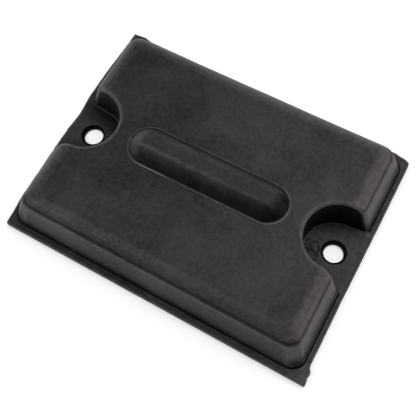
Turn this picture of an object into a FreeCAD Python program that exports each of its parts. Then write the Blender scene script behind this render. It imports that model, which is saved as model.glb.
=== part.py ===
import FreeCAD, Part
import math
import os

import Sketcher

# Bolt-down rubber bump pad, millimetres.
# Origin: centre of the underside. +X along the line through the two bolt holes,
# +Y across, +Z up through the raised bar.

doc = FreeCAD.newDocument("bump_pad")

# ---------------------------------------------------------------- dimensions
sheet = doc.addObject("Spreadsheet::Sheet", "dims")
SIZES = [
    ("flange_length", 172.0),        # outer plan of the thin mounting flange
    ("flange_width", 132.0),
    ("flange_thick", 3.5),
    ("flange_corner", 1.2),
    ("dome_length", 164.0),          # plan of the cushion where it meets the flange
    ("dome_width", 122.6),
    ("dome_corner", 8.0),
    ("dome_top_length", 151.6),      # plan of the drafted walls run up to the top plane
    ("dome_top_width", 111.5),
    ("dome_top_corner", 6.5),
    ("dome_height", 23.5),           # top plane above the underside
    ("shoulder_round", 6.4),
    ("hole_spacing", 142.0),
    ("hole_dia", 11.0),              # clearance for M10
    ("hole_lip", 1.0),
    ("recess_radius", 15.9),        # bolt-head recess at its floor
    ("recess_top_radius", 17.0),     # the same recess at the top plane
    ("recess_reach", 96.0),          # how far out the recess cutter runs
    ("recess_round", 1.5),
    ("bar_length", 87.5),            # raised bar at its foot
    ("bar_width", 21.2),
    ("bar_top_length", 77.0),
    ("bar_top_width", 10.7),
    ("bar_rise", 6.5),
    ("bar_round", 3.4),
    ("plate_length", 164.0),         # steel backing plate bonded into the underside
    ("plate_width", 124.0),
    ("plate_thick", 1.5),
    ("plate_corner", 7.0),
    ("plate_bolt_dia", 15.0),        # clears the rubber-lined bolt holes
    ("key_dia", 9.0),                # keying holes that the rubber flows through
    ("key_spacing_x", 48.0),
    ("key_spacing_y", 78.0),
]
for row, (alias, value) in enumerate(SIZES, start=1):
    sheet.set("A%d" % row, alias)
    sheet.set("B%d" % row, "%g" % value)
    sheet.setAlias("B%d" % row, alias)
doc.recompute()
D = dict(SIZES)
V = FreeCAD.Vector


def plane(body, role):
    for f in body.Origin.OriginFeatures:
        if f.Role == role:
            return f
    raise RuntimeError("no plane " + role)


def new_sketch(body, name, lift=None):
    """A sketch on the body's own XY plane, raised by a sheet expression."""
    sk = body.newObject("Sketcher::SketchObject", name)
    sk.AttachmentSupport = [(plane(body, "XY_Plane"), "")]
    sk.MapMode = "FlatFace"
    if lift:
        sk.setExpression("AttachmentOffset.Base.z", lift)
    return sk


def bind(sk, constraint, name, expression):
    i = sk.addConstraint(constraint)
    sk.renameConstraint(i, name)
    sk.setExpression("Constraints." + name, expression)
    return i


def rounded_rectangle(sk, half_x, half_y, radius, ex, ey, er):
    """Centred rectangle with four equal corner arcs; ex, ey, er drive it."""
    C = Sketcher.Constraint
    hx, hy, r = half_x, half_y, radius
    L, A = Part.LineSegment, Part.ArcOfCircle
    n = V(0, 0, 1)
    ids = sk.addGeometry([
        L(V(-hx + r, -hy, 0), V(hx - r, -hy, 0)),
        A(Part.Circle(V(hx - r, -hy + r, 0), n, r), -math.pi / 2, 0),
        L(V(hx, -hy + r, 0), V(hx, hy - r, 0)),
        A(Part.Circle(V(hx - r, hy - r, 0), n, r), 0, math.pi / 2),
        L(V(hx - r, hy, 0), V(-hx + r, hy, 0)),
        A(Part.Circle(V(-hx + r, hy - r, 0), n, r), math.pi / 2, math.pi),
        L(V(-hx, hy - r, 0), V(-hx, -hy + r, 0)),
        A(Part.Circle(V(-hx + r, -hy + r, 0), n, r), math.pi, 1.5 * math.pi),
    ], False)
    b, c1, rt, c2, tp, c3, lf, c4 = ids
    sk.addConstraint([
        C("Tangent", b, 2, c1, 1), C("Tangent", c1, 2, rt, 1),
        C("Tangent", rt, 2, c2, 1), C("Tangent", c2, 2, tp, 1),
        C("Tangent", tp, 2, c3, 1), C("Tangent", c3, 2, lf, 1),
        C("Tangent", lf, 2, c4, 1), C("Tangent", c4, 2, b, 1),
        C("Horizontal", b), C("Vertical", rt),
        C("Equal", c1, c2), C("Equal", c2, c3), C("Equal", c3, c4),
    ])
    # centred about both sketch axes
    bind(sk, C("DistanceX", -1, 1, rt, 1, hx), "half_x", ex)
    bind(sk, C("DistanceX", lf, 1, -1, 1, hx), "half_x_left", ex)
    bind(sk, C("DistanceY", -1, 1, tp, 1, hy), "half_y", ey)
    bind(sk, C("DistanceY", b, 1, -1, 1, hy), "half_y_front", ey)
    bind(sk, C("Radius", c1, r), "corner", er)


def stadium(sk, length, width, el, ew):
    """Centred slot outline, round ended, long axis along X."""
    C = Sketcher.Constraint
    r = width / 2.0
    a = length / 2.0 - r
    n = V(0, 0, 1)
    b, c1, tp, c2 = sk.addGeometry([
        Part.LineSegment(V(-a, -r, 0), V(a, -r, 0)),
        Part.ArcOfCircle(Part.Circle(V(a, 0, 0), n, r), -math.pi / 2, math.pi / 2),
        Part.LineSegment(V(a, r, 0), V(-a, r, 0)),
        Part.ArcOfCircle(Part.Circle(V(-a, 0, 0), n, r), math.pi / 2, 1.5 * math.pi),
    ], False)
    sk.addConstraint([
        C("Tangent", b, 2, c1, 1), C("Tangent", c1, 2, tp, 1),
        C("Tangent", tp, 2, c2, 1), C("Tangent", c2, 2, b, 1),
        C("Horizontal", b), C("Equal", c1, c2),
        C("Symmetric", c1, 3, c2, 3, -1, 1),
    ])
    bind(sk, C("Radius", c1, r), "end_radius", ew + " / 2")
    bind(sk, C("DistanceX", c2, 3, c1, 3, 2 * a), "between", el + " - " + ew)


def recess_outline(sk, side, radius, er):
    """Half-round recess about one bolt hole, running straight out past the end wall."""
    C = Sketcher.Constraint
    n = V(0, 0, 1)
    cx = side * D["hole_spacing"] / 2.0
    out = side * D["recess_reach"]
    r = radius
    if side > 0:
        arc = Part.ArcOfCircle(Part.Circle(V(cx, 0, 0), n, r), math.pi / 2, 1.5 * math.pi)
        p1, p2 = V(cx, r, 0), V(cx, -r, 0)
    else:
        arc = Part.ArcOfCircle(Part.Circle(V(cx, 0, 0), n, r), -math.pi / 2, math.pi / 2)
        p1, p2 = V(cx, -r, 0), V(cx, r, 0)
    q1, q2 = V(out, p1.y, 0), V(out, p2.y, 0)
    a, l1, l2, l3 = sk.addGeometry([
        arc,
        Part.LineSegment(p2, q2),
        Part.LineSegment(q2, q1),
        Part.LineSegment(q1, p1),
    ], False)
    sk.addConstraint([
        C("Tangent", a, 2, l1, 1), C("Coincident", l1, 2, l2, 1),
        C("Coincident", l2, 2, l3, 1), C("Tangent", l3, 2, a, 1),
        C("Horizontal", l1), C("Vertical", l2),
        C("PointOnObject", a, 3, -1),
    ])
    bind(sk, C("Radius", a, r), "recess", er)
    if side > 0:
        bind(sk, C("DistanceX", -1, 1, a, 3, cx), "centre", "dims.hole_spacing / 2")
        bind(sk, C("DistanceX", -1, 1, l1, 2, out), "reach", "dims.recess_reach")
    else:
        bind(sk, C("DistanceX", a, 3, -1, 1, -cx), "centre", "dims.hole_spacing / 2")
        bind(sk, C("DistanceX", l1, 2, -1, 1, -out), "reach", "dims.recess_reach")


def circles(sk, centres, dia, ed, exs, eys):
    """Circles whose centres are bound to sheet expressions (positive distances)."""
    C = Sketcher.Constraint
    n = V(0, 0, 1)
    first = None
    for k, ((x, y), ex, ey) in enumerate(zip(centres, exs, eys)):
        g = sk.addGeometry(Part.Circle(V(x, y, 0), n, dia / 2.0), False)
        if first is None:
            first = g
            bind(sk, C("Diameter", g, dia), "dia", ed)
        else:
            sk.addConstraint(C("Equal", first, g))
        if x > 0:
            bind(sk, C("DistanceX", -1, 1, g, 3, x), "x%d" % k, ex)
        elif x < 0:
            bind(sk, C("DistanceX", g, 3, -1, 1, -x), "x%d" % k, ex)
        else:
            sk.addConstraint(C("PointOnObject", g, 3, -2))
        if y > 0:
            bind(sk, C("DistanceY", -1, 1, g, 3, y), "y%d" % k, ey)
        elif y < 0:
            bind(sk, C("DistanceY", g, 3, -1, 1, -y), "y%d" % k, ey)
        else:
            sk.addConstraint(C("PointOnObject", g, 3, -1))


def pad(body, sk, length_expr, name):
    p = body.newObject("PartDesign::Pad", name)
    p.Profile = sk
    p.setExpression("Length", length_expr)
    return p


def loft(body, kind, lower, upper, name):
    lo = body.newObject(kind, name)
    lo.Profile = lower
    lo.Sections = [upper]
    lo.Ruled = True
    return lo


def check_step(label, before, after, sign):
    """A feature must change the volume the way it should."""
    if sign * (after - before) <= 0:
        raise RuntimeError("%s changed the volume the wrong way: %.1f -> %.1f" % (label, before, after))


def pick_edges(shape, test):
    names = []
    for i, e in enumerate(shape.Edges, start=1):
        if test(e):
            names.append("Edge%d" % i)
    return names


def mid(e):
    f, l = e.FirstParameter, e.LastParameter
    return e.valueAt((f + l) / 2.0)


H = D["dome_height"]
TF = D["flange_thick"]
HX = D["hole_spacing"] / 2.0

# ------------------------------------------------------------- rubber moulding
rubber = doc.addObject("PartDesign::Body", "rubber_pad")
rubber.Label = "rubber_pad"

s_flange = new_sketch(rubber, "flange_outline")
rounded_rectangle(s_flange, D["flange_length"] / 2, D["flange_width"] / 2, D["flange_corner"],
                  "dims.flange_length / 2", "dims.flange_width / 2", "dims.flange_corner")
f_flange = pad(rubber, s_flange, "dims.flange_thick", "flange")
doc.recompute()
v0 = rubber.Shape.Volume

# cushion: drafted block with a rounded-rectangle plan
s_lo = new_sketch(rubber, "dome_foot", "dims.flange_thick")
rounded_rectangle(s_lo, D["dome_length"] / 2, D["dome_width"] / 2, D["dome_corner"],
                  "dims.dome_length / 2", "dims.dome_width / 2", "dims.dome_corner")
s_hi = new_sketch(rubber, "dome_crown", "dims.dome_height")
rounded_rectangle(s_hi, D["dome_top_length"] / 2, D["dome_top_width"] / 2, D["dome_top_corner"],
                  "dims.dome_top_length / 2", "dims.dome_top_width / 2", "dims.dome_top_corner")
f_dome = loft(rubber, "PartDesign::AdditiveLoft", s_lo, s_hi, "dome")
doc.recompute()
v1 = rubber.Shape.Volume
check_step("dome", v0, v1, 1)

# generous round all along the cushion's top edge
f_shoulder = rubber.newObject("PartDesign::Fillet", "shoulder")
top_edges = pick_edges(f_dome.Shape, lambda e: all(abs(v.Point.z - H) < 1e-4 for v in e.Vertexes))
f_shoulder.Base = (f_dome, top_edges)
f_shoulder.setExpression("Radius", "dims.shoulder_round")
doc.recompute()
v2 = rubber.Shape.Volume
check_step("shoulder", v1, v2, -1)

# bolt-head recesses at both ends, drafted, open through the end walls
v_before = v2
f_cut = None
for side, tag in ((1, "right"), (-1, "left")):
    s_a = new_sketch(rubber, "recess_floor_" + tag, "dims.flange_thick")
    recess_outline(s_a, side, D["recess_radius"], "dims.recess_radius")
    s_b = new_sketch(rubber, "recess_mouth_" + tag, "dims.dome_height")
    recess_outline(s_b, side, D["recess_top_radius"], "dims.recess_top_radius")
    f_cut = loft(rubber, "PartDesign::SubtractiveLoft", s_a, s_b, "recess_" + tag)
    doc.recompute()
    check_step("recess " + tag, v_before, rubber.Shape.Volume, -1)
    v_before = rubber.Shape.Volume

# the recess rims are rounded over all along, from the crown down the end walls
def rim_edge(e):
    p = mid(e)
    if p.z < TF + 0.3:
        return False
    if len(e.Vertexes) == 2 and all(v.Point.z < TF + 0.05 for v in e.Vertexes):
        return False
    r_here = D["recess_radius"] + (D["recess_top_radius"] - D["recess_radius"]) * (p.z - TF) / (H - TF)
    dx = abs(p.x) - HX
    d = math.hypot(dx, p.y) if dx < 0 else abs(p.y)
    if abs(d - r_here) > 0.25:
        return False
    # keep the edges that bound the outside: crown plane, shoulder or end wall
    lies_top = all(abs(v.Point.z - H) < 0.02 for v in e.Vertexes)
    if lies_top:
        return True
    # seams inside the recess wall run from floor to crown at x = hole line
    xs = [abs(v.Point.x) for v in e.Vertexes]
    return min(xs) > HX + 1.0


f_rim = rubber.newObject("PartDesign::Fillet", "recess_rims")
f_rim.Base = (f_cut, pick_edges(f_cut.Shape, rim_edge))
f_rim.setExpression("Radius", "dims.recess_round")
doc.recompute()
check_step("recess rims", v_before, rubber.Shape.Volume, -1)
v_before = rubber.Shape.Volume

# raised bar on the crown, sloping sides and round ends
s_b0 = new_sketch(rubber, "bar_foot", "dims.dome_height")
stadium(s_b0, D["bar_length"], D["bar_width"], "dims.bar_length", "dims.bar_width")
s_b1 = new_sketch(rubber, "bar_crest", "dims.dome_height + dims.bar_rise")
stadium(s_b1, D["bar_top_length"], D["bar_top_width"], "dims.bar_top_length", "dims.bar_top_width")
f_bar = loft(rubber, "PartDesign::AdditiveLoft", s_b0, s_b1, "bar")
doc.recompute()
check_step("bar", v_before, rubber.Shape.Volume, 1)
v_before = rubber.Shape.Volume
f_crest = rubber.newObject("PartDesign::Fillet", "bar_crest_round")
ZB = H + D["bar_rise"]
f_crest.Base = (f_bar, pick_edges(f_bar.Shape, lambda e: all(abs(v.Point.z - ZB) < 1e-4 for v in e.Vertexes)))
f_crest.setExpression("Radius", "dims.bar_round")
doc.recompute()
check_step("bar crest round", v_before, rubber.Shape.Volume, -1)
v_before = rubber.Shape.Volume

# two bolt holes through the flange
s_holes = new_sketch(rubber, "bolt_holes")
circles(s_holes, [(HX, 0), (-HX, 0)], D["hole_dia"], "dims.hole_dia",
        ["dims.hole_spacing / 2"] * 2, [None, None])
f_holes = rubber.newObject("PartDesign::Pocket", "bolt_hole_pocket")
f_holes.Profile = s_holes
f_holes.Type = 1
f_holes.Midplane = True
doc.recompute()
check_step("bolt holes", v_before, rubber.Shape.Volume, -1)
v_before = rubber.Shape.Volume
f_lip = rubber.newObject("PartDesign::Fillet", "hole_lips")
f_lip.Base = (f_holes, pick_edges(
    f_holes.Shape,
    lambda e: abs(mid(e).z - TF) < 0.02 and abs(math.hypot(abs(mid(e).x) - HX, mid(e).y) - D["hole_dia"] / 2) < 0.05))
f_lip.setExpression("Radius", "dims.hole_lip")
doc.recompute()
check_step("hole lips", v_before, rubber.Shape.Volume, -1)
v_before = rubber.Shape.Volume

# seat for the steel plate in the underside; rubber stays round each bolt hole
# and stands in each keying hole
KX, KY = D["key_spacing_x"], D["key_spacing_y"]
KEYS = [(x, y) for x in (-KX, 0.0, KX) for y in (-KY / 2, KY / 2)]
KEY_EX = ["dims.key_spacing_x" if x else None for x, y in KEYS]
KEY_EY = ["dims.key_spacing_y / 2" for _ in KEYS]


def plate_profile(sk):
    rounded_rectangle(sk, D["plate_length"] / 2, D["plate_width"] / 2, D["plate_corner"],
                      "dims.plate_length / 2", "dims.plate_width / 2", "dims.plate_corner")
    C = Sketcher.Constraint
    n = V(0, 0, 1)
    g1 = sk.addGeometry(Part.Circle(V(HX, 0, 0), n, D["plate_bolt_dia"] / 2), False)
    g2 = sk.addGeometry(Part.Circle(V(-HX, 0, 0), n, D["plate_bolt_dia"] / 2), False)
    bind(sk, C("Diameter", g1, D["plate_bolt_dia"]), "bolt_dia", "dims.plate_bolt_dia")
    sk.addConstraint([C("Equal", g1, g2), C("PointOnObject", g1, 3, -1), C("PointOnObject", g2, 3, -1)])
    bind(sk, C("DistanceX", -1, 1, g1, 3, HX), "bolt_x", "dims.hole_spacing / 2")
    bind(sk, C("DistanceX", g2, 3, -1, 1, HX), "bolt_x_left", "dims.hole_spacing / 2")
    circles(sk, KEYS, D["key_dia"], "dims.key_dia", KEY_EX, KEY_EY)


s_seat = new_sketch(rubber, "plate_seat_outline")
plate_profile(s_seat)
f_seat = rubber.newObject("PartDesign::Pocket", "plate_seat")
f_seat.Profile = s_seat
f_seat.Type = 0
f_seat.Reversed = True
f_seat.setExpression("Length", "dims.plate_thick")
doc.recompute()
check_step("plate seat", v_before, rubber.Shape.Volume, -1)

# ----------------------------------------------------------- steel backing plate
plate = doc.addObject("PartDesign::Body", "backing_plate")
plate.Label = "backing_plate"
s_plate = new_sketch(plate, "plate_outline")
plate_profile(s_plate)
f_plate = pad(plate, s_plate, "dims.plate_thick", "plate")
doc.recompute()

# ------------------------------------------------------------------ checks, files
bad = []
for obj in doc.Objects:
    if any(word in ("Invalid", "Error") for word in obj.State):
        bad.append("%s %s" % (obj.Name, obj.State))
if bad:
    raise RuntimeError("failed objects: " + ", ".join(bad))

os.makedirs("parts", exist_ok=True)
for body in (rubber, plate):
    shape = body.Shape
    if shape.isNull() or not shape.isValid() or len(shape.Solids) != 1:
        raise RuntimeError("bad shape in " + body.Label)
    b = shape.BoundBox
    print("%-14s volume %10.1f mm3  x %.2f %.2f  y %.2f %.2f  z %.2f %.2f  faces %d" % (
        body.Label, shape.Volume, b.XMin, b.XMax, b.YMin, b.YMax, b.ZMin, b.ZMax, len(shape.Faces)))
    shape.exportStep("parts/%s.step" % body.Label)
common = rubber.Shape.common(plate.Shape)
print("overlap of the two pieces: %.4f mm3" % common.Volume)
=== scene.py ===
import math
import bpy
import numpy as np
from mathutils import Matrix, Vector


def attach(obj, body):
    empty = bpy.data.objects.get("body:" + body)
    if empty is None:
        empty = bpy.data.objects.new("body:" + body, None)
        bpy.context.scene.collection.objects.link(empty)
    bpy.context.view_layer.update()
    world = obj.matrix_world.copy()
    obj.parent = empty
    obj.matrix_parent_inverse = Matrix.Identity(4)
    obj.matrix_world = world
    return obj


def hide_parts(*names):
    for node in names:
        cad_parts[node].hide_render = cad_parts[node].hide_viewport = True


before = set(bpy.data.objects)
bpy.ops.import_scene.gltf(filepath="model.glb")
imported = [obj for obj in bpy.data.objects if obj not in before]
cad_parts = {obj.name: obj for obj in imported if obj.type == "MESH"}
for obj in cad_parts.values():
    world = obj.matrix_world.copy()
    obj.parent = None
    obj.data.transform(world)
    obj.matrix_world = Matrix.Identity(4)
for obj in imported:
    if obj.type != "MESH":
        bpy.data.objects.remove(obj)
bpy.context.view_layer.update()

MM = 0.001


# =====================================================================
# Shape of the rubber moulding, in millimetres, as one implicit surface.
# Negative inside. Same frame as the CAD: origin at the underside's centre.
# =====================================================================
FLANGE_T = 3.5
TOP = 23.5
CREST = 30.0
HOLE_X = 71.0


def smax(a, b, r):
    """Intersection with a round of radius r on the convex edge."""
    u = np.maximum(a + r, 0.0)
    v = np.maximum(b + r, 0.0)
    return np.where((a > -r) & (b > -r), np.hypot(u, v) - r, np.maximum(a, b))


def smin(a, b, r):
    """Union with a fillet of radius r in the concave corner."""
    return -smax(-a, -b, r)


_rng = np.random.RandomState(20417)
_LATTICE = _rng.rand(64, 64, 64).astype(np.float32) * 2.0 - 1.0


def noise3(x, y, z, size, shift=0.0):
    """Smooth value noise, about -1 to 1, with features of the given size in mm."""
    px, py, pz = x / size + 31.7 + shift, y / size + 17.3 - shift, z / size + 7.9 + 2.0 * shift
    ix, iy, iz = np.floor(px).astype(int), np.floor(py).astype(int), np.floor(pz).astype(int)
    fx, fy, fz = px - ix, py - iy, pz - iz
    fx = fx * fx * fx * (fx * (fx * 6 - 15) + 10)
    fy = fy * fy * fy * (fy * (fy * 6 - 15) + 10)
    fz = fz * fz * fz * (fz * (fz * 6 - 15) + 10)
    out = 0.0
    for dx in (0, 1):
        wx = fx if dx else 1 - fx
        for dy in (0, 1):
            wy = fy if dy else 1 - fy
            for dz in (0, 1):
                wz = fz if dz else 1 - fz
                out = out + wx * wy * wz * _LATTICE[(ix + dx) % 64, (iy + dy) % 64, (iz + dz) % 64]
    return out


# --- outline of the flange: moulded, then trimmed by hand, so it isn't quite square
LEFT_Y = [-66, -62, -57, -50, -42, -30, -12, -3, 3, 8, 12, 18, 34, 46, 54, 62, 70]
LEFT_X = [83.3, 83.6, 84.0, 84.65, 85.0, 85.1, 85.45, 85.55, 85.1, 84.85, 85.15, 85.95, 86.0, 85.7, 85.35, 85.1, 85.1]
RIGHT_Y = [-67, -63.6, -61.2, -59.4, -58.2, -57, -55, -40, -20, 0, 30, 60, 66]
RIGHT_X = [86.8, 86.8, 86.1, 86.7, 86.3, 85.3, 85.1, 85.05, 84.9, 84.95, 85.1, 85.0, 84.5]
FAR_X = [-88, -84, -80, -78, -76.8, -74, -60, 60, 76, 79, 82, 84, 88]
FAR_Y = [67.3, 67.45, 67.8, 67.95, 67.6, 66.9, 66.7, 65.9, 65.4, 64.8, 64.3, 63.4, 62.0]


_S = np.arange(-95.0, 95.0, 0.15)
_TEETH = [0.07 * noise3(_S, 0 * _S + 11.0 * k, 0 * _S, 2.3, k) + 0.05 * noise3(_S, 0 * _S + 5.0 * k, 0 * _S, 0.9, k + 3.0)
          for k in range(5)]


def tooth(s, k):
    """Slight hand-trimmed raggedness along an edge, +-0.1 mm."""
    return np.interp(s, _S, _TEETH[k])


def flange_plan(x, y):
    xl = np.interp(y, LEFT_Y, LEFT_X) + tooth(y, 1)
    xr = np.interp(y, RIGHT_Y, RIGHT_X) + tooth(y, 2) * 0.7
    yb = np.interp(x, FAR_X, FAR_Y) + tooth(x, 3)
    yf = 65.1 + tooth(x, 4) * 0.5
    a = np.maximum(x - xr, -x - xl)
    b = np.maximum(y - yb, -y - yf)
    return smax(a, b, 0.7)


# --- plan inset of the cushion: 0 on its foot, growing inwards, corners kept round
def _corner(c):
    return 7.6 - 0.28 * np.clip(c, 0.0, 4.3) + 0.10 * np.clip(c - 4.3, 0.0, 8.0)


def cushion_inset(x, y):
    a = (82.0 - np.abs(x)) / 1.037
    b = (np.where(y > 0, 61.85, 61.35) - np.abs(y)) / 0.93
    c = np.minimum(a, b)
    turn = c + _corner(c) > np.maximum(a, b)  # only near the corners do both sides count
    if turn.any():
        a, b = a[turn], b[turn]
        lo, hi = np.minimum(a, b) - 14.0, np.minimum(a, b) + 0.001
        for _ in range(22):
            m = 0.5 * (lo + hi)
            rho = _corner(m)
            up = rho > np.hypot(np.maximum(m + rho - a, 0.0), np.maximum(m + rho - b, 0.0))
            lo = np.where(up, m, lo)
            hi = np.where(up, hi, m)
        c = np.array(c)
        c[turn] = 0.5 * (lo + hi)
    return c


WALL_A = math.atan(4.3 / 14.4)


def recess_void(x, y, z):
    """Positive inside the bolt recess, mirrored to both ends."""
    ax = np.abs(x) - HOLE_X
    lift = (z - FLANGE_T) * 0.05
    rho = np.hypot(np.minimum(ax, 0.0), y - np.where(x > 0, 0.5, 0.0) * lift) - 0.115 * np.maximum(ax, 0.0)
    return (15.85 + 1.4 * lift - rho) * 0.997


def bar_inset(x, y):
    return 10.6 - np.hypot(np.maximum(np.abs(x) - 33.15, 0.0), y)


BAR_A = math.atan(5.3 / 6.5)
PLATE = (82.0, 62.0, 7.0, 1.5)
KEYS = [(x, y) for x in (-48.0, 0.0, 48.0) for y in (-39.0, 39.0)]


def plate_void(x, y, z):
    hx, hy, r, t = PLATE
    qx, qy = np.abs(x) - (hx - r), np.abs(y) - (hy - r)
    d = np.hypot(np.maximum(qx, 0.0), np.maximum(qy, 0.0)) + np.minimum(np.maximum(qx, qy), 0.0) - r
    d = np.maximum(d, 7.5 - np.hypot(np.abs(x) - HOLE_X, y))
    for kx, ky in KEYS:
        d = np.maximum(d, 4.5 - np.hypot(x - kx, y - ky))
    return np.maximum(d, z - t)


MARKS = [  # small mould marks: x, y, z, radius, height
    (-33.5, 17.6, 23.5, 0.48, 0.26),
    (-31.4, 18.7, 23.5, 0.50, 0.26),
    (-29.2, 14.9, 23.5, 0.50, 0.30),
    (-29.9, -10.9, 23.55, 0.50, 0.30),
    (-12.4, -10.95, 23.55, 0.55, 0.32),
    (-36.0, -33.2, 23.5, 0.45, 0.22),
]


def implicit(x, y, z, inset):
    """inset is cushion_inset(x, y), worked out once where the grid allows it."""
    # cushion: drafted wall, big round shoulder, flat crown
    wall = -inset * math.cos(WALL_A) + (z - FLANGE_T) * math.sin(WALL_A)
    cushion = smax(wall, z - TOP, 6.4)
    # witness line where the shoulder insert met the wall cavity
    s = (z - 18.75) / 0.42
    cushion = cushion - 0.16 * np.exp(-s * s)
    # the recess rim is tight on the crown and fuller down the end walls
    t = np.clip((inset - 4.5) / 6.5, 0.0, 1.0)
    cushion = smax(cushion, recess_void(x, y, z), 3.3 - 1.9 * t * t * (3 - 2 * t))
    # raised bar with round ends
    bi = bar_inset(x, y)
    side = -bi * math.cos(BAR_A) + (z - TOP) * math.sin(BAR_A)
    bar = smax(side, z - CREST, 3.2)
    body = smin(cushion, np.maximum(bar, TOP - 3.0 - z), 0.35)
    # the line left by the edge of the bar's own mould insert
    rim = np.hypot(bi + 0.30, z - TOP + 0.12) - 0.52
    body = smin(body, rim, 0.2)
    # flange
    fl = smax(flange_plan(x, y), z - FLANGE_T, 0.35)
    fl = smax(fl, -z, 0.25)
    # the flange edge has a thin raised parting line
    pl = flange_plan(x, y)
    # the bead along the trimmed edge fades out at the kink by the -Y, +X corner
    kink = 0.30 * np.exp(-((x - 85.0) ** 2 + (y + 58.6) ** 2) / 9.0)
    fl = smin(fl, np.hypot(pl + 0.85, z - FLANGE_T + 0.16 + 0.5 * kink) - 0.36 + kink, 0.3)
    body = np.minimum(np.maximum(body, 1.0 - z), fl)
    # bolt holes with a soft lip on top
    hole = 5.0 + 0.05 * np.clip(z, 0.0, 4.0) - np.hypot(np.abs(x) - HOLE_X, y - np.where(x < 0, 0.3, 0.0))
    body = np.where(z > 1.8, smax(body, hole, 1.4), np.maximum(body, hole))
    # seat of the steel plate
    body = np.maximum(body, -plate_void(x, y, z))
    return body


def surface_nets(xs, ys, zs, f):
    """Closed quad mesh of f = 0 on a rectilinear grid; negative is inside."""
    ins = f < 0
    n = np.zeros(tuple(s - 1 for s in f.shape), np.int8)
    for dx in (0, 1):
        for dy in (0, 1):
            for dz in (0, 1):
                n += ins[dx:dx + n.shape[0], dy:dy + n.shape[1], dz:dz + n.shape[2]]
    act = (n > 0) & (n < 8)
    ci, cj, ck = np.nonzero(act)
    index = np.full(act.shape, -1, np.int32)
    index[ci, cj, ck] = np.arange(len(ci))
    acc = np.zeros((len(ci), 3))
    cnt = np.zeros(len(ci))
    corners = [(a, b, c) for a in (0, 1) for b in (0, 1) for c in (0, 1)]
    for a in corners:
        for axis in range(3):
            if a[axis]:
                continue
            b = list(a)
            b[axis] = 1
            fa = f[ci + a[0], cj + a[1], ck + a[2]]
            fb = f[ci + b[0], cj + b[1], ck + b[2]]
            m = (fa < 0) != (fb < 0)
            t = np.where(m, fa / np.where(m, fa - fb, 1.0), 0.0)
            pa = np.stack([xs[ci + a[0]], ys[cj + a[1]], zs[ck + a[2]]], 1)
            pb = np.stack([xs[ci + b[0]], ys[cj + b[1]], zs[ck + b[2]]], 1)
            acc += np.where(m[:, None], pa + (pb - pa) * t[:, None], 0.0)
            cnt += m
    verts = acc / cnt[:, None]
    quads = []
    for axis in range(3):
        sl0 = [slice(None)] * 3
        sl1 = [slice(None)] * 3
        sl0[axis] = slice(0, -1)
        sl1[axis] = slice(1, None)
        a, b = ins[tuple(sl0)], ins[tuple(sl1)]
        u, v = (axis + 1) % 3, (axis + 2) % 3
        e = np.nonzero(a != b)
        keep = (e[u] > 0) & (e[v] > 0) & (e[u] < f.shape[u] - 1) & (e[v] < f.shape[v] - 1)
        e = [q[keep] for q in e]
        out = a[tuple(e)]  # inside at the lower end: face points to +axis

        def cell(du, dv):
            q = [e[0].copy(), e[1].copy(), e[2].copy()]
            q[u] -= du
            q[v] -= dv
            return index[q[0], q[1], q[2]]

        c00, c10, c11, c01 = cell(1, 1), cell(0, 1), cell(0, 0), cell(1, 0)
        fwd = np.stack([c00, c10, c11, c01], 1)
        rev = fwd[:, ::-1]
        quads.append(np.where(out[:, None], fwd, rev))
    return verts, np.concatenate(quads)


def steps(*spans):
    out = []
    for lo, hi, h in spans:
        k = max(1, int(round((hi - lo) / h)))
        out += list(lo + (hi - lo) * np.arange(k) / k)
    out.append(spans[-1][1])
    return np.array(out)


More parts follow.
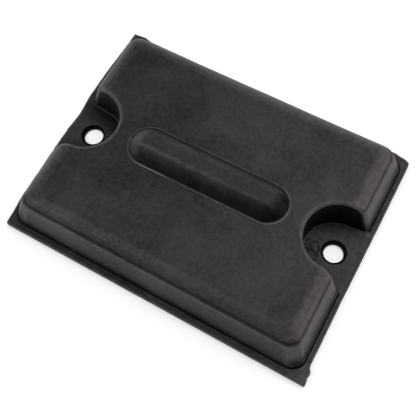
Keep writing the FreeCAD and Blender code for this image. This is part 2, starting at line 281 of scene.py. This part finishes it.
def build_rubber():
    half = steps((0, 33, 0.55), (33, 45, 0.3), (45, 66, 0.45), (66, 83.2, 0.36), (83.2, 89, 0.3))
    xs = np.concatenate([-half[:0:-1], half]) + 0.013
    half = steps((0, 9.4, 0.36), (9.4, 11.8, 0.24), (11.8, 19.5, 0.36), (19.5, 52, 0.55), (52, 62.4, 0.36), (62.4, 69.2, 0.3))
    ys = np.concatenate([-half[:0:-1], half]) + 0.057
    zs = steps((-0.63, 2.7, 0.36), (2.7, 4.2, 0.2), (4.2, 16.8, 0.55), (16.8, 20.4, 0.36), (20.4, 23.0, 0.42), (23.0, 24.2, 0.24), (24.2, 31.2, 0.42))
    gx, gy = np.meshgrid(xs, ys, indexing="ij")
    inset = cushion_inset(gx, gy)
    f = np.empty((len(xs), len(ys), len(zs)), np.float32)
    for k, z in enumerate(zs):
        f[:, :, k] = implicit(gx, gy, np.full_like(gx, z), inset)
    v, q = surface_nets(xs, ys, zs, f.astype(np.float64))
    # pull every vertex on to the surface itself
    for _ in range(3):
        x, y, z = v.T
        f0 = implicit(x, y, z, cushion_inset(x, y))
        e = 0.02
        c1, c2 = cushion_inset(x + e, y), cushion_inset(x - e, y)
        c3, c4 = cushion_inset(x, y + e), cushion_inset(x, y - e)
        c0 = cushion_inset(x, y)
        g = np.stack([
            implicit(x + e, y, z, c1) - implicit(x - e, y, z, c2),
            implicit(x, y + e, z, c3) - implicit(x, y - e, z, c4),
            implicit(x, y, z + e, c0) - implicit(x, y, z - e, c0)], 1) / (2 * e)
        n2 = np.maximum((g * g).sum(1), 0.25)
        step = -(f0 / n2)[:, None] * g
        ln = np.linalg.norm(step, axis=1)
        step *= np.minimum(1.0, 0.25 / np.maximum(ln, 1e-9))[:, None]
        v = v + step
    nrm = g / np.maximum(np.linalg.norm(g, axis=1), 1e-9)[:, None]
    # how shut in each point is, and how far it stands proud: painted shade follows the first, wear and painted
    # highlights the second
    x, y, z = v.T
    painted_shade = np.zeros(len(v))
    for d, wt in ((1.2, 0.20), (3.0, 0.25), (7.0, 0.30), (14.0, 0.25)):
        p = v + nrm * d
        painted_shade += wt * np.clip(1.0 - implicit(p[:, 0], p[:, 1], p[:, 2], cushion_inset(p[:, 0], p[:, 1])) / d, 0.0, 1.0)
    proud = np.zeros(len(v))
    e = 0.9
    for ax in range(3):
        for sg in (-1, 1):
            p = np.array(v)
            p[:, ax] += sg * e
            proud += implicit(p[:, 0], p[:, 1], p[:, 2], cushion_inset(p[:, 0], p[:, 1]))
    proud = np.clip(proud / e, 0.0, 2.0)
    steep = 1.0 - np.abs(nrm[:, 2])
    rv = recess_void(x, y, z)
    # painted shade from occlusion, weaker on the +X side and on flat faces
    painted_shade = painted_shade * (np.where(x > 0, 0.10, 0.45) + 0.55 * steep)
    # painted shade, dark and matt, on the recess walls right up to the rim, the right-hand one most
    wall = np.clip(1.2 - np.abs(rv) / 0.9, 0.0, 1.0) * np.clip((22.9 - z) / 1.6, 0.0, 1.0) * np.clip(steep * 1.6 - 0.3, 0.0, 1.0)
    wall *= (np.abs(x) < 78.5 + 0.15 * (23.5 - z)) * (z > 3.7)
    painted_shade = np.maximum(painted_shade, wall * np.where(x > 0, 0.96, 0.66))
    # painted shadow on the -X recess floor, darkest near its wall
    rf = recess_void(x, y, FLANGE_T)
    floor = (z < 4.2) * (z > 3.0) * (rf > 0.0)
    shade = 0.66 * np.clip((12.0 - rf) / 9.0, 0.0, 1.0) * np.clip((x + 88.0) / 9.0, 0.0, 1.0) * (x < 0)
    painted_shade = np.maximum(painted_shade, floor * shade)
    # a speckled darker patch on the +X recess floor beside its wall
    floor_speckle = np.clip(noise3(x, y, z, 1.3, 6.0) * 1.6 + 0.35, 0.0, 1.0) * np.clip((66.5 - x) / 3.0, 0.0, 1.0) * np.clip((4.0 - y) / 4.0, 0.0, 1.0) * (x > 0)
    painted_shade = np.maximum(painted_shade, floor * 0.62 * floor_speckle)
    # painted shadow: black bore and lip of each bolt hole
    rh = np.hypot(np.abs(x) - HOLE_X, y)
    painted_shade = np.maximum(painted_shade, np.clip((6.7 - rh) / 0.45, 0.0, 1.0) * (z < 4.5))
    # painted shade: a dark line along the foot of the cushion
    foot = np.hypot(cushion_inset(x, y), z - FLANGE_T)
    painted_shade = np.maximum(painted_shade, np.clip((0.62 - foot) / 0.3, 0.0, 1.0) * (rv < -1.0))
    # lighter on proud edges, part wear and part painted highlight; the flange top is painted lighter towards +X and
    # along its bead
    wear_and_painted_highlight = np.clip(0.42 * (proud / 0.14) ** 0.6, 0.0, 1.0) * (z > 3.9)
    wear_and_painted_highlight *= np.where(z > 24.0, 0.55, 1.0)
    wear_and_painted_highlight = np.maximum(wear_and_painted_highlight, np.where(x > 0, 0.30, 0.06) * (z < 3.9) * (z > 2.9))
    pl = flange_plan(x, y)
    wear_and_painted_highlight = np.maximum(wear_and_painted_highlight, (z > 2.9) * (z < 4.1) * (0.16 * (y < -55.0) + np.where(x > 82.0, 0.42, 0.0)))
    wear_and_painted_highlight = np.maximum(wear_and_painted_highlight, (z > 3.0) * (z < 4.3) * np.maximum(0.85 * np.exp(-((pl + 0.75) / 0.35) ** 2), 0.60 * np.exp(-((pl + 2.3) / 0.25) ** 2) * (y < -55.0)))
    # painted highlights on fine lines: the bar's witness line, the seam of the shoulder, the recess foot
    bi = bar_inset(x, y)
    line = np.clip(1.3 - np.abs(bi + 0.35) / 0.36, 0.0, 1.0) * (np.abs(z - TOP - 0.1) < 0.7)
    bright = np.where(y > 3.0, 0.5, 1.1) + 1.0 * np.exp(-((x + 27.0) / 9.0) ** 4) * (y < 0) + 0.35 * (x > 38.0) * (y < 8.0)
    wear_and_painted_highlight = np.maximum(wear_and_painted_highlight, bright * line)
    wear_and_painted_highlight = np.maximum(wear_and_painted_highlight, 0.55 * np.clip(1.2 - np.abs(z - 18.75) / 0.4, 0.0, 1.0) * (steep > 0.35) * (rv < -0.8))
    line = np.clip(1.2 - np.abs(rf - 0.15) / 0.40, 0.0, 1.0) * (z < 4.3) * (z > 3.2) * (np.abs(x) < 80.0)
    wear_and_painted_highlight = np.maximum(wear_and_painted_highlight, 1.0 * line)
    painted_shade = painted_shade * (1.0 - 0.85 * line)
    # shoulders: painted warm light and painted shade bands on the +X end, a painted highlight along the -X edge,
    # painted glints at two corners, painted light and shade bands along the front
    out = (rv < -1.2) * (z < TOP + 0.4) * (z > 6.0)
    bloom_and_lit_side = np.clip((nrm[:, 0] - 0.10) / 0.16, 0.0, 1.0) * np.clip((0.86 - nrm[:, 0]) / 0.12, 0.0, 1.0)
    bloom_and_lit_side = np.maximum(bloom_and_lit_side, 0.55 * np.clip((nrm[:, 0] - 0.80) / 0.1, 0.0, 1.0) * np.exp(-((z - 15.0) / 2.4) ** 2))
    lines = 1.0 - 0.75 * np.exp(-((z - 19.9) / 0.6) ** 2)
    painted_warm_light = 0.85 * bloom_and_lit_side * out * lines * np.clip((z - 8.0) / 4.0, 0.0, 1.0)
    # painted warm light on the +X flange strip too, broken up by noise
    painted_warm_light = np.maximum(painted_warm_light, (x > 81.5) * (z > 2.9) * (z < 4.2) * (np.abs(y) > 15.0) * (0.36 + 0.60 * noise3(x, y, z, 2.4, 8.0)))
    painted_warm_light = np.clip(painted_warm_light, 0.0, 1.0)
    # painted shade bands on the +X end wall
    painted_shade = np.maximum(painted_shade, np.clip((nrm[:, 0] - 0.3) / 0.2, 0.0, 1.0) * out * np.maximum(0.45 * np.exp(-((z - 19.9) / 0.6) ** 2), 0.60 * np.clip((11.0 - z) / 5.0, 0.0, 1.0)))
    # painted highlight along the -X shoulder edge and painted glints at two corners
    wear_and_painted_highlight = np.maximum(wear_and_painted_highlight, 1.2 * np.exp(-((nrm[:, 0] + 0.80) / 0.10) ** 2) * out)
    wear_and_painted_highlight = np.maximum(wear_and_painted_highlight, 1.1 * np.exp(-(((x + 79.2) / 2.2) ** 2 + ((y + 56.8) / 2.6) ** 2)) * out * (z > 13.0))
    wear_and_painted_highlight = np.maximum(wear_and_painted_highlight, 1.6 * np.exp(-(((x - 78.6) / 2.4) ** 2 + ((y - 57.2) / 2.4) ** 2 + ((z - 14.5) / 5.5) ** 4)) * out)
    # painted shade band and painted highlight band along the front shoulder, and the front wall painted darker
    # towards +X
    front = np.clip((-nrm[:, 1] - 0.12) / 0.2, 0.0, 1.0) * out
    painted_shade = np.maximum(painted_shade, 0.58 * front * np.exp(-((z - 20.3) / 0.62) ** 2))
    wear_and_painted_highlight = np.maximum(wear_and_painted_highlight, (0.46 - 0.14 * np.clip(x / 60.0, -1.0, 1.0)) * front * np.exp(-((z - 22.5) / 0.8) ** 2))
    painted_shade = np.maximum(painted_shade, 0.16 * front * (z < 18.0) * np.clip((x + 60.0) / 130.0, 0.0, 1.0))
    # painted light on the crown: a shade lighter towards +X and darker towards -X at the back
    crown = np.exp(-((z - TOP) / 0.8) ** 2) * (steep < 0.05)
    wear_and_painted_highlight = np.maximum(wear_and_painted_highlight, 0.13 * crown * np.clip((x - 5.0 - 0.3 * y) / 70.0, 0.0, 1.0))
    painted_shade = np.maximum(painted_shade, 0.07 * crown * np.clip((y * 0.6 - x - 10.0) / 60.0, 0.0, 1.0))
    # painted shade on the bar's flank on the -Y side and on its +X end
    on_bar = np.clip((z - TOP - 0.35) / 0.5, 0.0, 1.0)
    flank = np.clip((-nrm[:, 1] - 0.22) / 0.14, 0.0, 1.0) * np.clip((x + 40.0) / 7.0, 0.0, 1.0)
    nose = np.clip((nrm[:, 0] - 0.15) / 0.4, 0.0, 1.0) * (x > 25.0) * (y < 6.0)
    bar_side_shade = np.maximum(0.30 * flank + 0.30 * flank * np.clip((x - 10.0) / 34.0, 0.0, 1.0), 0.72 * nose)
    painted_shade = np.maximum(painted_shade, on_bar * bar_side_shade)
    # painted highlights on the bar's top: along its near edge and on its -X end
    edge = np.exp(-((y + 3.3) / 1.2) ** 2) * (np.abs(x) < 39.0) * (z > CREST - 1.3)
    wear_and_painted_highlight = np.where(z > TOP + 0.9, 0.0, wear_and_painted_highlight)
    wear_and_painted_highlight = np.maximum(wear_and_painted_highlight, (0.70 + 0.25 * np.clip(-x / 30.0, -1.0, 1.0)) * edge)
    wear_and_painted_highlight = np.maximum(wear_and_painted_highlight, 0.70 * np.clip((-nrm[:, 0] - 0.12) / 0.2, 0.0, 1.0) * (x < -33.0) * (z > TOP + 1.2) * (y > -8.0))
    # painted shade behind the bar's foot
    back = (y > 0.0) * np.clip(1.3 - np.abs(bi - 0.55) / 0.75, 0.0, 1.0) * (z > TOP - 0.5)
    painted_shade = np.maximum(painted_shade, 0.60 * back)
    wear_and_painted_highlight *= 1.0 - painted_shade * (z > 4.2) * (wear_and_painted_highlight < 1.0)
    # the skin of a real moulding: it undulates, its bar is scuffed, and it has small marks
    x, y, z = v.T
    up = np.clip((z - 5.0) / 4.0, 0.0, 1.0)
    d = up * (0.10 * noise3(x, y, z, 31.0) + 0.050 * noise3(x, y, z, 13.0, 2.0) + 0.018 * noise3(x, y, z, 5.2, 5.0))
    d += (1 - up) * (z > 2.6) * (0.04 * noise3(x, y, z, 9.0, 7.0) + 0.05 * noise3(x, y, z, 2.6, 9.0) + 0.03 * noise3(x, y, z, 1.3, 3.0))
    crest = np.clip((z - 28.2) / 1.2, 0.0, 1.0)
    d += crest * (0.055 * noise3(x, y, z, 2.1, 1.0) + 0.045 * noise3(x, y, z, 1.1, 4.0))
    for mx, my, mz, r, hgt in MARKS:
        q2 = ((x - mx) ** 2 + (y - my) ** 2 + (z - mz) ** 2) / (r * r)
        d += hgt * np.exp(-q2)
    # a nick in the front shoulder and a shallow scratch behind the bar
    q2 = ((x + 25.6) / 1.0) ** 2 + ((y + 57.0) / 0.8) ** 2 + ((z - 19.6) / 0.9) ** 2
    d -= 0.45 * np.exp(-q2)
    t = np.clip((x + 2.0) / 11.0, 0.0, 1.0)
    near = np.exp(-((y - 28.7 + 0.4 * t) / 0.4) ** 2) * np.exp(-((z - TOP) / 1.0) ** 2)
    d -= 0.06 * near * (t > 0) * (t < 1)
    under = z < 1.7
    d = np.where(under, 0.0, d)
    v = v + nrm * d[:, None]
    # the front long side runs a little out of square
    k = -0.0122 * np.clip((-26.0 - v[:, 1]) / 34.0, 0.0, 1.0)
    k = np.where(under, k * np.clip((-62.6 - v[:, 1]) / 1.0, 0.0, 1.0), k)
    v[:, 1] += k * v[:, 0]
    v[:, 2] = np.maximum(v[:, 2], 0.0)
    me = bpy.data.meshes.new("rubber_skin")
    me.from_pydata((v * MM).tolist(), [], q.tolist())
    me.validate()
    me.polygons.foreach_set("use_smooth", np.ones(len(me.polygons), bool))
    for name, values in (("painted_shade", painted_shade), ("wear_and_painted_highlight", wear_and_painted_highlight), ("painted_warm_light", painted_warm_light)):
        at = me.attributes.new(name, "FLOAT", "POINT")
        at.data.foreach_set("value", values.astype(np.float32))
    me.update()
    ob = bpy.data.objects.new("rubber_skin", me)
    bpy.context.scene.collection.objects.link(ob)
    return ob


# =====================================================================
# Materials
# =====================================================================
def material(name):
    m = bpy.data.materials.new(name)
    m.use_nodes = True
    nt = m.node_tree
    return m, nt, nt.nodes["Principled BSDF"]


def node(nt, kind, **props):
    n = nt.nodes.new(kind)
    for k, v in props.items():
        setattr(n, k, v)
    return n


def ramp(nt, stops, source):
    r = node(nt, "ShaderNodeValToRGB")
    cr = r.color_ramp
    while len(cr.elements) < len(stops):
        cr.elements.new(0.5)
    for e, (p, c) in zip(cr.elements, stops):
        e.position = p
        e.color = (c, c, c, 1) if not isinstance(c, tuple) else (*c, 1)
    nt.links.new(source, r.inputs["Fac"])
    return r


def noise(nt, co, scale, detail=4.0, rough=0.55, dist=0.0):
    n = node(nt, "ShaderNodeTexNoise")
    n.inputs["Scale"].default_value = scale
    n.inputs["Detail"].default_value = detail
    n.inputs["Roughness"].default_value = rough
    n.inputs["Distortion"].default_value = dist
    nt.links.new(co, n.inputs["Vector"])
    return n


def math_node(nt, op, a, b=None, c=None, clamp=False):
    n = node(nt, "ShaderNodeMath", operation=op, use_clamp=clamp)
    for k, v in enumerate((a, b, c)):
        if v is None:
            continue
        if isinstance(v, (int, float)):
            n.inputs[k].default_value = v
        else:
            nt.links.new(v, n.inputs[k])
    return n.outputs[0]


def mix_colour(nt, fac, a, b):
    n = node(nt, "ShaderNodeMix", data_type="RGBA")
    for sock, v in ((n.inputs[0], fac), (n.inputs[6], a), (n.inputs[7], b)):
        if isinstance(v, tuple):
            sock.default_value = (*v, 1)
        else:
            nt.links.new(v, sock)
    return n.outputs[2]


def rubber_material():
    m, nt, p = material("moulded_rubber")
    co = node(nt, "ShaderNodeTexCoord").outputs["Object"]
    painted_shade = node(nt, "ShaderNodeAttribute", attribute_name="painted_shade").outputs["Fac"]
    wear_and_painted_highlight = node(nt, "ShaderNodeAttribute", attribute_name="wear_and_painted_highlight").outputs["Fac"]
    painted_warm_light = node(nt, "ShaderNodeAttribute", attribute_name="painted_warm_light").outputs["Fac"]
    cloud = noise(nt, co, 30.0, 6.0, 0.66, 0.6).outputs["Fac"]
    mottle = noise(nt, co, 420.0, 5.0, 0.70, 0.2).outputs["Fac"]
    grain = noise(nt, co, 1100.0, 3.0, 0.62).outputs["Fac"]
    # black compound, with a brown-grey bloom in clouds, and a lighter scuff with painted highlights on what stands
    # proud
    bloom_and_lit_side = ramp(nt, [(0.36, 0.0), (0.64, 1.0)], cloud).outputs["Color"]
    base = mix_colour(nt, bloom_and_lit_side, (0.0070, 0.0072, 0.0090), (0.0190, 0.0176, 0.0188))
    speck = ramp(nt, [(0.45, 0.0), (0.78, 0.40)], mottle).outputs["Color"]
    base = mix_colour(nt, speck, base, (0.0300, 0.0278, 0.0290))
    rub = math_node(nt, "MULTIPLY", wear_and_painted_highlight, ramp(nt, [(0.28, 0.40), (0.62, 1.0)], mottle).outputs["Color"], clamp=True)
    base = mix_colour(nt, rub, base, (0.105, 0.099, 0.101))
    # painted glint where the highlight mask passes 1
    glint = math_node(nt, "SUBTRACT", wear_and_painted_highlight, 1.0, clamp=True)
    base = mix_colour(nt, glint, base, (0.40, 0.39, 0.39))
    # painted warm light on the +X faces
    warm_light_fac = math_node(nt, "MULTIPLY", painted_warm_light, ramp(nt, [(0.30, 0.35), (0.64, 1.0)], mottle).outputs["Color"], clamp=True)
    base = mix_colour(nt, warm_light_fac, base, (0.116, 0.098, 0.097))
    # painted shade, near black
    shade_fac = math_node(nt, "POWER", painted_shade, 0.8, clamp=True)
    base = mix_colour(nt, shade_fac, base, (0.0030, 0.0028, 0.0034))
    nt.links.new(base, p.inputs["Base Color"])
    # painted shade also takes the shine out of shut-in places
    shine = math_node(nt, "MULTIPLY_ADD", mottle, 0.80, -0.545)
    shine = math_node(nt, "MULTIPLY_ADD", cloud, 1.0, shine)
    shine = math_node(nt, "MULTIPLY_ADD", grain, 0.35, shine, clamp=True)
    shine = math_node(nt, "MULTIPLY", shine, math_node(nt, "MULTIPLY_ADD", shade_fac, -0.93, 1.0, clamp=True), clamp=True)
    nt.links.new(shine, p.inputs["Specular IOR Level"])
    rough = math_node(nt, "MULTIPLY_ADD", cloud, 0.20, 0.36)
    rough = math_node(nt, "MULTIPLY_ADD", mottle, 0.16, rough, clamp=True)
    nt.links.new(rough, p.inputs["Roughness"])
    # pebbled skin
    b1 = node(nt, "ShaderNodeBump")
    b1.inputs["Strength"].default_value = 0.70
    b1.inputs["Distance"].default_value = 0.00025
    nt.links.new(mottle, b1.inputs["Height"])
    b2 = node(nt, "ShaderNodeBump")
    b2.inputs["Strength"].default_value = 0.60
    b2.inputs["Distance"].default_value = 0.00020
    nt.links.new(grain, b2.inputs["Height"])
    nt.links.new(b1.outputs["Normal"], b2.inputs["Normal"])
    nt.links.new(b2.outputs["Normal"], p.inputs["Normal"])
    return m


def steel_material():
    m, nt, p = material("primed_steel")
    co = node(nt, "ShaderNodeTexCoord").outputs["Object"]
    big = noise(nt, co, 38.0, 6.0, 0.62, 0.6)
    fine = noise(nt, co, 600.0, 4.0, 0.6)
    mix = node(nt, "ShaderNodeMix", data_type="RGBA")
    mix.inputs["A"].default_value = (0.075, 0.076, 0.080, 1)
    mix.inputs["B"].default_value = (0.155, 0.150, 0.145, 1)
    r = ramp(nt, [(0.34, 0.0), (0.66, 1.0)], big.outputs["Fac"])
    nt.links.new(r.outputs["Color"], mix.inputs["Factor"])
    nt.links.new(mix.outputs["Result"], p.inputs["Base Color"])
    rr = ramp(nt, [(0.2, 0.34), (0.8, 0.58)], big.outputs["Fac"])
    nt.links.new(rr.outputs["Color"], p.inputs["Roughness"])
    b = node(nt, "ShaderNodeBump")
    b.inputs["Strength"].default_value = 0.25
    b.inputs["Distance"].default_value = 0.00008
    nt.links.new(fine.outputs["Fac"], b.inputs["Height"])
    nt.links.new(b.outputs["Normal"], p.inputs["Normal"])
    p.inputs["Metallic"].default_value = 0.7
    return m


skin = build_rubber()
skin.data.materials.append(rubber_material())
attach(skin, "root")
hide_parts("rubber_pad")

steel = steel_material()
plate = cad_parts["backing_plate"]
plate.data.materials.clear()
plate.data.materials.append(steel)

# =====================================================================
# Stage, light, camera
# =====================================================================
scene = bpy.context.scene
scene.view_settings.view_transform = "Standard"
scene.view_settings.look = "None"
scene.view_settings.exposure = 0.0
scene.view_settings.gamma = 1.0

fm, fnt, fp = material("pale_floor")
fp.inputs["Base Color"].default_value = (0.90, 0.90, 0.90, 1)
fp.inputs["Roughness"].default_value = 0.9
fp.inputs["Emission Color"].default_value = (1, 1, 1, 1)
fp.inputs["Emission Strength"].default_value = 0.56
me = bpy.data.meshes.new("floor")
S = 3.0
me.from_pydata([(-S, -S, 0), (S, -S, 0), (S, S, 0), (-S, S, 0)], [], [(0, 1, 2, 3)])
floor = bpy.data.objects.new("floor", me)
me.materials.append(fm)
scene.collection.objects.link(floor)
floor.location.z = -0.0002

world = bpy.data.worlds.new("studio")
scene.world = world
world.use_nodes = True
bg = world.node_tree.nodes["Background"]
bg.inputs["Color"].default_value = (0.80, 0.80, 0.82, 1)
bg.inputs["Strength"].default_value = 0.03


def area(name, az, el, dist, size_x, size_y, power, color=(1, 1, 1)):
    a, e = math.radians(az), math.radians(el)
    d = Vector((math.sin(a) * math.cos(e), -math.cos(a) * math.cos(e), math.sin(e)))
    li = bpy.data.lights.new(name, "AREA")
    li.shape = "RECTANGLE"
    li.size, li.size_y = size_x, size_y
    li.energy = power
    li.color = color
    ob = bpy.data.objects.new(name, li)
    scene.collection.objects.link(ob)
    ob.location = d * dist
    ob.rotation_euler = (-d).to_track_quat("-Z", "Y").to_euler()
    return ob


# soft boxes: one high behind, one front left, two small ones at the back corners,
# and three low ones that only catch the walls
area("high_back", 180, 66, 1.5, 0.62, 0.95, 4.60, (0.98, 0.96, 1.0))
area("front_left", -45, 56, 1.5, 0.62, 0.62, 5.00, (0.97, 0.96, 1.0))
area("back_right", 125, 50, 1.5, 0.62, 0.62, 3.20, (1.0, 0.92, 0.93))
area("back_left", -135, 56, 1.5, 0.62, 0.62, 0.50, (0.97, 0.96, 1.0))
area("low_back", 180, 14, 1.5, 1.20, 0.50, 3.60)
area("low_left", -108, 14, 1.5, 1.00, 0.50, 2.80)
area("low_right", 108, 16, 1.5, 0.62, 0.62, 3.60, (1.0, 0.91, 0.91))
area("low_front_left", -50, 14, 1.5, 0.70, 0.50, 1.90)

cam_data = bpy.data.cameras.new("camera")
cam_data.sensor_fit = "HORIZONTAL"
cam_data.sensor_width = 36.0
cam_data.lens = 63.486
cam_data.clip_start = 0.01
cam_data.clip_end = 20.0
cam = bpy.data.objects.new("camera", cam_data)
scene.collection.objects.link(cam)
right = Vector((0.8762103732720499, 0.48083310250988875, -0.032479367314805295))
down = Vector((0.4304112221017888, -0.8110831982476769, -0.39609370786363723))
fwd = Vector((-0.21679843555547157, 0.33308193143884957, -0.9176354751695608))
pos = Vector((85.73314530572762, -133.58342528363542, 348.5411954062405)) * MM
rot = Matrix((right, -down, -fwd)).transposed()
cam.matrix_world = Matrix.Translation(pos) @ rot.to_4x4()
scene.camera = cam

bpy.context.view_layer.update()
